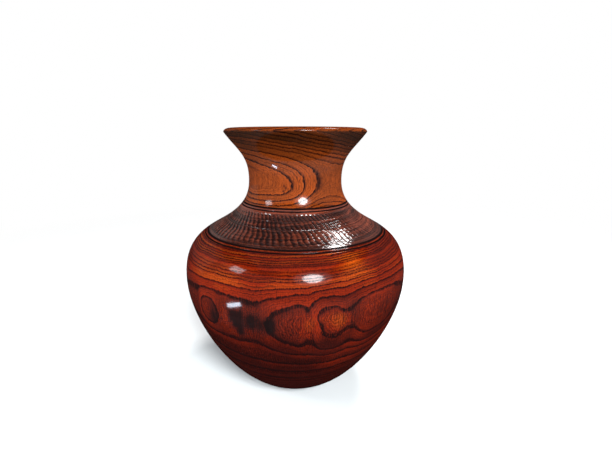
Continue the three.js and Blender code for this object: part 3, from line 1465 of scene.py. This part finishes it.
@dataclass
class TurnedPiece:
    """What the pieces share: a place in the frame, a finish, and rows of a turned section."""

    outline: Outline
    name: str
    node: str
    slot: str
    body: Body = Body.VASE
    columns: int = 480
    row_spacing: float = 1.0
    inner_spacing: float = 4.0
    groove_width: float = 1.1
    groove_depth: float = 0.75
    groove_reach: float = 1.2
    groove_shade: float = 3.0
    seam_shade: float = 0.25

    def grooves(self, line: np.ndarray, cuts: list[tuple[float, float, float]]) -> np.ndarray:
        """Gives how deep turned grooves cut a line of places.

        Args:
            line: Places as rows of (radius, height).
            cuts: Height, width and depth of each groove.

        Returns:
            One depth for each place.
        """
        depth = np.zeros(len(line))
        for height, width, deep in cuts:
            share = np.clip(np.abs(line[:, 1] - height) / (width / 2.0), 0.0, 1.0)
            depth = np.maximum(depth, deep * (0.5 + 0.5 * np.cos(math.pi * share)))
        return depth

    def graded(self, line: np.ndarray, fine: float, heights: list[float]) -> np.ndarray:
        """Places a line again, closely near given heights.

        Args:
            line: Places as rows of (radius, height).
            fine: Distance near the heights.
            heights: Heights that need close places.

        Returns:
            The new rows of (radius, height).
        """
        dense = spaced(line, fine)
        whole = along(dense)
        near = np.zeros(len(dense), bool)
        for height in heights:
            near |= np.abs(dense[:, 1] - height) < self.groove_reach
        every = max(1, round(self.row_spacing / fine))
        keep = near | (np.arange(len(dense)) % every == 0)
        keep[[0, -1]] = True
        return at_distances(dense, whole[keep])

    def darkened(self, depth: np.ndarray) -> np.ndarray:
        """Returns the painted shade at the bottom of the turned grooves, from 0 to 1."""
        return np.clip(self.groove_shade * depth / self.groove_depth, 0.0, 1.0)

    def spin(self, outer: np.ndarray, cutting: np.ndarray, rest: np.ndarray) -> SpunGrid:
        """Turns a section whose outer places are cut into by varying depths.

        Args:
            outer: Outer places, climbing.
            cutting: Depth of cut at each outer place and column.
            rest: The other places of the section, in order.

        Returns:
            The grid of places.
        """
        normal = facing(outer)
        cut_outer = outer[:, None, :] - normal[:, None, :] * cutting[:, :, None]
        whole_rest = np.repeat(rest[:, None, :], self.columns, axis=1)
        grid = np.concatenate([cut_outer, whole_rest])
        return SpunGrid(grid[..., 0], grid[..., 1], self.columns)

    def settle(self, grid: SpunGrid, material: bpy.types.Material) -> bpy.types.Object:
        """Makes the object, dresses it and ties it to the frame.

        Args:
            grid: Grid of places with its painted values.
            material: Finish.

        Returns:
            The new object.
        """
        mesh = grid.mesh(self.name)
        mesh.materials.append(material)
        piece = bpy.data.objects.new(self.name, mesh)
        bpy.context.scene.collection.objects.link(piece)
        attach(piece, self.body.value)
        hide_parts(self.node)
        return piece


@dataclass
class BellyBowl(TurnedPiece):
    """Belly with the ring that it stands on, open below for the plug."""

    second_groove: float = 165.60
    groove_width: float = 1.15
    groove_shade: float = 4.0
    seam_shade: float = 0.1
    fine_spacing: float = 0.2
    spigot_radius: float = 80.84
    spigot_foot: float = 163.2
    floor: float = 14.0
    plug_spigot: float = 26.5
    plug_flange: float = 32.5
    plug_flange_top: float = 6.0

    def build(self, material: bpy.types.Material) -> bpy.types.Object:
        """Builds the belly.

        Args:
            material: Finish.

        Returns:
            The new object.
        """
        shape = self.outline
        top = shape.lower_cut[0]
        outside = cut(shape.outside(), 0.0, top)
        outer = self.graded(outside, self.fine_spacing, [self.second_groove, top])
        depth = self.grooves(outer, [(self.second_groove, self.groove_width, self.groove_depth)])
        inside = cut(shape.inside(), self.floor, self.spigot_foot)
        rest = np.concatenate(
            [
                [shape.seam_edge(shape.lower_seam, shape.lower_cut)],
                [[self.spigot_radius, shape.lower_seam], [self.spigot_radius, self.spigot_foot]],
                spaced(inside, self.inner_spacing)[::-1],
                [[self.plug_spigot, self.floor], [self.plug_spigot, self.plug_flange_top]],
                [[self.plug_flange, self.plug_flange_top], [self.plug_flange, 0.0]],
            ]
        )
        grid = self.spin(outer, np.repeat(depth[:, None], self.columns, axis=1), rest)
        places = grid.places()
        figure = BellyFigure()
        stain = figure.stains(places)
        # Painted shade beside the seam and in the turned grooves, added to the stains of the hearts
        shade_by_seam = smooth_step(top - self.seam_shade, top, outer[:, 1])
        painted_groove_shade = np.maximum(self.darkened(depth), shade_by_seam)
        stain[: len(outer)] = np.maximum(stain[: len(outer)], painted_groove_shade[:, None])
        stain[len(outer)] = 1.0
        grid.paint(figure.rings(places), figure.tones(places), stain)
        return self.settle(grid, material)


@dataclass(frozen=True)
class MarkRow:
    """Row of chatter marks: heights of its ends, lean in degrees, bend, and shift in radians.

    The lean is the turn by which the foot of a mark is behind its top. The bend is how far the
    mark curves between its ends, as a share of the lean.
    """

    top: float
    foot: float
    lean: float
    bend: float
    shift: float = 0.0


@dataclass
class CarvedShoulder(TurnedPiece):
    """Shoulder ring with two tiers of chatter marks cut by a flexing tool, the upper in two rows."""

    columns: int = 1116
    row_spacing: float = 0.30
    inner_spacing: float = 5.0
    second_groove: float = 191.25
    groove_width: float = 1.4
    tier_line: float = 178.7
    tier_line_width: float = 0.6
    tier_line_depth: float = 0.4
    marks: int = 95
    mark_rows: tuple[MarkRow, ...] = (
        MarkRow(189.4, 183.8, 5.6, 0.06),
        MarkRow(184.7, 178.0, 4.6, 0.05, -0.012),
        MarkRow(179.2, 167.8, 8.5, 0.12),
    )
    mark_depth: float = 0.42
    mark_start: Span = (-0.02, 0.14)
    mark_end: Span = (0.74, 1.04)
    steep_share: float = 0.24
    scoop_power: float = 1.6
    crowding: float = 0.12
    wobbles: tuple[SpaceNoise, ...] = (SpaceNoise(16.0, 41, 0.006), SpaceNoise(4.0, 42, 0.009))
    wear: float = 0.74
    wear_noises: tuple[SpaceNoise, ...] = (SpaceNoise(22.0, 43, 0.30), SpaceNoise(5.0, 44, 0.24))
    wear_range: Span = (0.25, 1.15)
    ripple_pitch: float = 1.9
    ripple_depth: float = 0.045
    ripple_noise: SpaceNoise = SpaceNoise(4.0, 46, 4.0)
    ripple_fade: float = 1.0
    plain_tone: float = 0.45
    tone_noise: SpaceNoise = SpaceNoise(18.0, 45, 0.2)
    band_tone: float = 0.15
    band_foot: Span = (167.6, 168.2)
    band_top: Span = (189.0, 189.8)
    strip_tone: float = 0.3
    strip_heights: Span = (168.5, 172.5)
    # Painted shade in the scoops of the chatter marks: a darker tone, and near-black towards their
    # deepest
    scoop_shade_tone: float = 0.5
    scoop_shade: float = 0.90
    shaded_scoops: Span = (0.5, 0.98)
    spigot_radius: float = 80.54
    spigot_foot: float = 163.2
    neck_spigot: float = 46.25
    neck_spigot_foot: float = 189.4

    def scoops(self, row: MarkRow, height: np.ndarray, turn: np.ndarray) -> np.ndarray:
        """Gives the scoop of each chatter mark in one row of marks.

        Args:
            row: Ends, lean, bend and shift of the row.
            height: Height of each place.
            turn: Turn of each place, in radians.

        Returns:
            Scoop from 0, uncut, to 1, deepest.
        """
        share = (row.top - height) / (row.top - row.foot)
        drift = math.radians(row.lean) * (share + row.bend * np.sin(2.0 * math.pi * share))
        phase = (turn + row.shift - drift) * self.marks / (2.0 * math.pi)
        past_deepest = phase - np.floor(phase) - self.steep_share
        side = np.where(past_deepest < 0.0, self.steep_share, 1.0 - self.steep_share)
        scoop = 1.0 - np.abs(past_deepest / side) ** self.scoop_power
        ends = smooth_step(*self.mark_start, share) * (1.0 - smooth_step(*self.mark_end, share))
        return scoop * ends

    def carving(self, outer: np.ndarray) -> np.ndarray:
        """Gives the depth of the chatter marks.

        Args:
            outer: Outer places as rows of (radius, height).

        Returns:
            Depth at each place and column.
        """
        grid = spun(outer, self.columns)
        places = grid.places()
        turn = grid.turns()[None, :]
        height = outer[:, 1][:, None]
        moved = turn + sum(wobble.sample(places) for wobble in self.wobbles)
        moved = moved + self.crowding * (1.0 - np.cos(turn))
        marks = np.max([self.scoops(row, height, moved) for row in self.mark_rows], axis=0)
        worn = sum((noise.sample(places) for noise in self.wear_noises), self.wear)
        worn = np.clip(worn, *self.wear_range)
        foot, top = self.mark_rows[-1].foot, self.mark_rows[0].top
        zone = smooth_step(foot, foot + self.ripple_fade, height)
        zone = zone * (1.0 - smooth_step(top - self.ripple_fade, top, height))
        beat = 2.0 * math.pi * height / self.ripple_pitch + self.ripple_noise.sample(places)
        return worn * (self.mark_depth * marks) + self.ripple_depth * zone * (1.0 + np.sin(beat))

    def build(self, material: bpy.types.Material) -> bpy.types.Object:
        """Builds the carved shoulder.

        Args:
            material: Finish.

        Returns:
            The new object.
        """
        shape = self.outline
        low, high = shape.lower_cut[1], shape.upper_cut[0]
        outer = spaced(cut(shape.outside(), low, high), self.row_spacing)
        height = outer[:, 1]
        turned = self.grooves(
            outer,
            [
                (self.second_groove, self.groove_width, self.groove_depth),
                (self.tier_line, self.tier_line_width, self.tier_line_depth),
            ],
        )
        carved = self.carving(outer)
        inside = cut(shape.inside(), self.spigot_foot, self.neck_spigot_foot)
        rest = np.concatenate(
            [
                [shape.seam_edge(shape.upper_seam, shape.upper_cut)],
                [[self.neck_spigot, shape.upper_seam], [self.neck_spigot, self.neck_spigot_foot]],
                spaced(inside, self.inner_spacing)[::-1],
                [[self.spigot_radius, self.spigot_foot], [self.spigot_radius, shape.lower_seam]],
                [shape.seam_edge(shape.lower_seam, shape.lower_cut)],
            ]
        )
        grid = self.spin(outer, carved + turned[:, None], rest)
        places = grid.places()
        scoop = carved / self.mark_depth
        band = smooth_step(*self.band_foot, height) * (1.0 - smooth_step(*self.band_top, height))
        strip = 1.0 - smooth_step(*self.strip_heights, height)
        tone = self.plain_tone + self.tone_noise.sample(places)
        tone[: len(outer)] += (self.band_tone * band + self.strip_tone * strip)[:, None]
        # Painted shade: the scoops of the chatter marks are darker in tone
        tone[: len(outer)] += self.scoop_shade_tone * scoop
        # Painted shade only: beside both seams, in the turned grooves and in the scoops of the chatter
        # marks
        shade_by_seam = np.maximum(
            smooth_step(high - self.seam_shade, high, height),
            1.0 - smooth_step(low, low + self.seam_shade, height),
        )
        painted_groove_shade = np.maximum(self.darkened(turned), shade_by_seam)[:, None]
        stain = np.zeros(grid.radius.shape)
        stain[: len(outer)] = np.maximum(
            painted_groove_shade, self.scoop_shade * smooth_step(*self.shaded_scoops, scoop)
        )
        stain[[len(outer), -1]] = 1.0
        grid.paint(BellyFigure().rings(places), np.clip(tone, 0.0, 1.0), stain)
        return self.settle(grid, material)


@dataclass
class NeckCollar(TurnedPiece):
    """Neck and flared mouth, with a ledge inside for the liner's rim."""

    columns: int = 640
    row_spacing: float = 0.5
    inner_spacing: float = 3.0
    mouth_spacing: float = 0.8
    spigot_radius: float = 45.95
    spigot_foot: float = 189.4
    seat_height: float = 226.1
    seat_radius: float = 40.9
    below_throat: float = 0.01

    def build(self, material: bpy.types.Material) -> bpy.types.Object:
        """Builds the neck.

        Args:
            material: Finish.

        Returns:
            The new object.
        """
        shape = self.outline
        low = shape.upper_cut[1]
        outer = spaced(cut(shape.outside(), low, shape.lip_height), self.row_spacing)
        mouth = shape.mouth()
        flare = mouth[mouth[:, 0] > self.seat_radius]
        bore = shape.throat_radius - shape.wall
        inside = cut(shape.inside(), self.spigot_foot, shape.throat_height - self.below_throat)
        rest = np.concatenate(
            [
                spaced(shape.lip(), self.row_spacing)[1:-1],
                spaced(flare, self.mouth_spacing)[::-1],
                [[self.seat_radius, self.seat_height], [bore, self.seat_height]],
                spaced(inside, self.inner_spacing)[::-1],
                [[self.spigot_radius, self.spigot_foot], [self.spigot_radius, shape.upper_seam]],
                [shape.seam_edge(shape.upper_seam, shape.upper_cut)],
            ]
        )
        grid = self.spin(outer, np.zeros((len(outer), self.columns)), rest)
        places = grid.places()
        figure = NeckFigure()
        stain = figure.stains(places)
        # Painted shade beside the seam and at its groove, added to the dark dots of knots
        shade_by_seam = 1.0 - smooth_step(low, low + self.seam_shade, outer[:, 1])
        stain[: len(outer)] = np.maximum(stain[: len(outer)], shade_by_seam[:, None])
        stain[-1] = 1.0
        grid.paint(figure.rings(places), figure.tones(places), stain)
        return self.settle(grid, material)


@dataclass
class BasePlug(TurnedPiece):
    """Stepped disc glued up into the bowl, dished underneath."""

    columns: int = 96
    row_spacing: float = 1.5
    recess: float = 1.5
    dish_radius: float = 23.2
    dish_depth: float = 1.2
    dish_start: float = 88.0
    dish_steps: int = 14
    flange_radius: float = 32.2
    flange_top: float = 6.0
    spigot_radius: float = 26.2
    top: float = 14.0
    pole_radius: float = 1.0
    tone: float = 0.6

    def build(self, material: bpy.types.Material) -> bpy.types.Object:
        """Builds the plug.

        Args:
            material: Finish.

        Returns:
            The new object.
        """
        angle = np.linspace(math.radians(self.dish_start), 0.0, self.dish_steps)
        dish = np.stack(
            [self.dish_radius * np.cos(angle), self.recess + self.dish_depth * np.sin(angle)], axis=1
        )
        corners = np.array(
            [
                [self.dish_radius, self.recess],
                [self.flange_radius, self.recess],
                [self.flange_radius, self.flange_top],
                [self.spigot_radius, self.flange_top],
                [self.spigot_radius, self.top],
                [self.pole_radius, self.top],
            ]
        )
        sides = [spaced(np.stack(ends), self.row_spacing)[1:] for ends in zip(corners, corners[1:])]
        grid = spun(np.concatenate([dish, *sides]), self.columns, False, (0, -1))
        plain = np.zeros(grid.radius.shape)
        grid.paint(NeckFigure().rings(grid.places()), plain + self.tone, plain)
        return self.settle(grid, material)


@dataclass
class CopperLiner:
    """Water liner: a tube with a soldered bottom and a rolled rim that hangs on the ledge."""

    outline: Outline
    top: float = 226.4
    foot: float = 61.4
    radius: float = 34.7
    bore: float = 33.5
    sheet: float = 1.2
    solder_gap: float = 0.3
    turn_up: float = 6.0
    rim_radius: float = 40.3
    rim_thickness: float = 1.5
    bead_radius: float = 1.2
    bead_steps: int = 22
    pole_radius: float = 1.0
    columns: int = 128
    tube_spacing: float = 3.0
    bottom_spacing: float = 2.0
    rim_spacing: float = 0.8

    def piece(self, name: str, node: str, slot: str) -> TurnedPiece:
        """Returns one piece of the liner, still without its mesh."""
        return TurnedPiece(self.outline, name, node, slot, Body.LINER, self.columns)

    def turned(self, corners: np.ndarray, spacing: float, closed: bool = True) -> SpunGrid:
        """Turns a section of straight sides.

        Args:
            corners: Corners as rows of (radius, height), anticlockwise.
            spacing: Distance between places along the sides.
            closed: Whether the section is a closed loop.

        Returns:
            The grid of places.
        """
        ends = np.roll(corners, -1, axis=0) if closed else corners[1:]
        sides = [spaced(np.stack(pair), spacing)[:-1] for pair in zip(corners, ends)]
        if not closed:
            sides.append(corners[-1:])
        return spun(np.concatenate(sides), self.columns, closed, () if closed else (0, -1))

    def wall(self) -> np.ndarray:
        """Returns the corners of the tube's section."""
        radii = (self.bore, self.radius, self.radius, self.bore)
        return np.stack([radii, (self.foot, self.foot, self.top, self.top)], axis=1)

    def pan(self) -> np.ndarray:
        """Returns the corners of the bottom's section, from the axis out and back."""
        edge = self.bore - self.solder_gap
        return np.array(
            [
                [self.pole_radius, self.foot],
                [edge, self.foot],
                [edge, self.foot + self.turn_up],
                [edge - self.sheet, self.foot + self.turn_up],
                [edge - self.sheet, self.foot + self.sheet],
                [self.pole_radius, self.foot + self.sheet],
            ]
        )

    def collar(self) -> np.ndarray:
        """Draws the rim's section, with a bead on its outer edge.

        Returns:
            Places as rows of (radius, height).
        """
        centre = np.array([self.rim_radius - self.bead_radius, self.top + self.bead_radius])
        meeting = math.asin((self.rim_thickness - self.bead_radius) / self.bead_radius)
        angle = np.linspace(-math.pi / 2.0, math.pi - meeting, self.bead_steps)
        bead = centre + self.bead_radius * np.stack([np.cos(angle), np.sin(angle)], axis=1)
        inner_edge = [[self.bore, self.top + self.rim_thickness]]
        return np.concatenate([[[self.bore, self.top]], bead, inner_edge])

    def build(self, plain: bpy.types.Material, rubbed: bpy.types.Material) -> list[bpy.types.Object]:
        """Builds the three pieces of the liner.

        Args:
            plain: Finish of the tube and the bottom.
            rubbed: Finish of the rim.

        Returns:
            The new objects.
        """
        tube = self.piece("spun_tube", "liner_tube", "liner_copper")
        bottom = self.piece("soldered_bottom", "liner_bottom", "liner_copper")
        rim = self.piece("rolled_rim", "liner_rim", "rim_copper")
        return [
            tube.settle(self.turned(self.wall(), self.tube_spacing), plain),
            bottom.settle(self.turned(self.pan(), self.bottom_spacing, closed=False), plain),
            rim.settle(self.turned(self.collar(), self.rim_spacing), rubbed),
        ]


class LampShape(Enum):
    """Outline of a lamp, with the share of its box that it fills."""

    RECTANGLE = 1.0
    ELLIPSE = math.pi / 4.0


@dataclass(frozen=True)
class Lamp:
    """Soft lamp, aimed at the vase from a turn and a climb, with its size in degrees."""

    name: str
    turn: float
    climb: float
    width: float
    height: float
    brightness: float
    colour: Colour = (1.0, 1.0, 1.0)
    distance: float = 2.0
    roll: float = 0.0
    shape: LampShape = LampShape.RECTANGLE

    def across(self, degrees: float) -> float:
        """Returns the size in metres that fills an angle, seen from the vase."""
        return 2.0 * self.distance * math.tan(math.radians(degrees) / 2.0)

    def build(self, aim: Vector) -> None:
        """Adds the lamp.

        Args:
            aim: Place that it faces, in metres.
        """
        turn, climb = math.radians(self.turn), math.radians(self.climb)
        out = Vector(
            (math.cos(climb) * math.sin(turn), -math.cos(climb) * math.cos(turn), math.sin(climb))
        )
        data = bpy.data.lights.new(self.name, "AREA")
        data.shape = self.shape.name
        data.size = self.across(self.width)
        data.size_y = self.across(self.height)
        data.energy = self.brightness * math.pi * data.size * data.size_y * self.shape.value
        data.color = self.colour
        lamp = bpy.data.objects.new(self.name, data)
        lamp.location = aim + out * self.distance
        level = (-out).to_track_quat("-Z", "Y")
        roll = Quaternion((0.0, 0.0, 1.0), math.radians(self.roll))
        lamp.rotation_euler = (level @ roll).to_euler()
        lamp.visible_camera = False
        bpy.context.scene.collection.objects.link(lamp)


@dataclass(frozen=True)
class Studio:
    """Pale floor that curves up all round, soft light, and the camera, in metres."""

    world: float = 0.09
    floor_colour: Colour = (0.50, 0.50, 0.50)
    floor_rings: tuple[float, ...] = (0.05, 0.5, 1.2)
    flat_radius: float = 2.4
    outer_radius: float = 4.0
    outer_height: float = 3.4
    curve_steps: int = 14
    floor_columns: int = 96
    white_radii: Span = (0.35, 1.1)
    eye: Axes = (0.0, -0.350, 0.2527)
    aim: Axes = (0.0, 0.0, 0.130)
    focal_pixels: float = 350.5
    aim_column: float = 295.2
    aim_row: float = 259.2
    sensor: float = 36.0
    nearest: float = 0.01
    lamps: tuple[Lamp, ...] = (
        Lamp("key_lamp", 19.0, 35.5, 18.0, 19.5, 92.0, (0.93, 0.98, 1.0), shape=LampShape.ELLIPSE),
        Lamp("key_glow", 19.0, 35.5, 34.0, 32.0, 3.6, (0.90, 0.96, 1.0), 2.2, shape=LampShape.ELLIPSE),
        Lamp("left_lamp", -68.0, 35.0, 13.0, 11.0, 31.0, (0.92, 0.96, 1.0)),
        Lamp("side_lamp", -125.0, 16.0, 50.0, 34.0, 1.1, (1.0, 0.96, 0.86)),
        Lamp("back_lamp", 133.0, 60.0, 14.0, 11.0, 75.0),
        Lamp("top_lamp", 0.0, 86.0, 62.0, 62.0, 0.6),
        Lamp("low_lamp", -48.6, -14.8, 13.0, 3.2, 135.0, (0.68, 0.84, 1.0), 0.296, 20.0),
    )

    def light(self) -> None:
        """Adds the lamps and the even light from all round."""
        world = bpy.data.worlds.new("studio")
        world.use_nodes = True
        background = world.node_tree.nodes["Background"]
        background.inputs["Color"].default_value = (1.0, 1.0, 1.0, 1.0)
        background.inputs["Strength"].default_value = self.world
        bpy.context.scene.world = world
        for lamp in self.lamps:
            lamp.build(Vector(self.aim))

    def floor_material(self) -> bpy.types.Material:
        """Builds the floor's finish: white far off, and shaded near the vase.

        Returns:
            The new material.
        """
        graph = Graph("pale_floor")
        path = graph.node("ShaderNodeLightPath").outputs
        seen = graph.math("ADD", path["Is Camera Ray"], path["Is Glossy Ray"], clamp=True)
        seen = graph.math("ADD", seen, path["Is Transmission Ray"], clamp=True)
        reach = graph.node("ShaderNodeVectorMath", Vector=graph.place())
        reach.operation = "LENGTH"
        white = graph.spread(reach.outputs["Value"], self.white_radii)
        shader = graph.node("ShaderNodeMixShader", Fac=graph.product(seen, white))
        matt = graph.node("ShaderNodeBsdfDiffuse", Color=(*self.floor_colour, 1.0))
        glow = graph.node("ShaderNodeEmission", Color=(1.0, 1.0, 1.0, 1.0), Strength=1.0)
        graph.fill(shader.inputs[1], matt.outputs[0])
        graph.fill(shader.inputs[2], glow.outputs[0])
        return graph.finish(shader)

    def floor(self) -> None:
        """Adds the floor."""
        angle = np.linspace(0.0, math.pi / 2.0, self.curve_steps)
        rise = np.stack(
            [
                self.flat_radius + (self.outer_radius - self.flat_radius) * np.sin(angle),
                self.outer_height * (1.0 - np.cos(angle)),
            ],
            axis=1,
        )
        flat = [[radius, 0.0] for radius in self.floor_rings]
        line = np.concatenate([flat, rise])[::-1] / MM
        mesh = spun(line, self.floor_columns, False, (-1,)).mesh("floor")
        mesh.materials.append(self.floor_material())
        floor = bpy.data.objects.new("floor", mesh)
        bpy.context.scene.collection.objects.link(floor)

    def camera(self) -> None:
        """Adds the camera at the photograph's viewing angle."""
        data = bpy.data.cameras.new("camera")
        data.sensor_fit = "HORIZONTAL"
        data.sensor_width = self.sensor
        data.lens = self.sensor * self.focal_pixels / IMAGE_WIDTH
        data.shift_x = (IMAGE_WIDTH / 2.0 - self.aim_column) / IMAGE_WIDTH
        data.shift_y = (self.aim_row - IMAGE_HEIGHT / 2.0) / IMAGE_WIDTH
        data.clip_start = self.nearest
        camera = bpy.data.objects.new("camera", data)
        camera.location = self.eye
        view = Vector(self.aim) - Vector(self.eye)
        camera.rotation_euler = view.to_track_quat("-Z", "Y").to_euler()
        bpy.context.scene.collection.objects.link(camera)
        bpy.context.scene.camera = camera
        bpy.context.scene.view_settings.view_transform = "Standard"


def main() -> None:
    """Builds the studio and the pieces of the vase in order, and reports each piece."""
    logging.basicConfig(level=logging.INFO, format="%(name)s: %(message)s")
    studio = Studio()
    studio.camera()
    studio.light()
    studio.floor()
    outline = Outline()
    neck = NeckCollar(outline, "turned_neck", "neck_collar", "neck_wood")
    shoulder = CarvedShoulder(outline, "chattered_shoulder", "carved_shoulder", "carved_wood")
    belly = BellyBowl(outline, "figured_belly", "belly_bowl", "belly_wood")
    plug = BasePlug(outline, "dished_plug", "base_plug", "plug_wood")
    liner = CopperLiner(outline)
    pieces = [
        neck.build(NECK_WOOD.material()),
        shoulder.build(BAND_WOOD.material()),
        belly.build(BELLY_WOOD.material()),
        plug.build(PLUG_WOOD.material()),
        *liner.build(LINER_COPPER.material(), RIM_COPPER.material()),
    ]
    for piece in pieces:
        LOG.info("%s: %d faces", piece.name, len(piece.data.polygons))


if __name__ == "__main__":
    main()
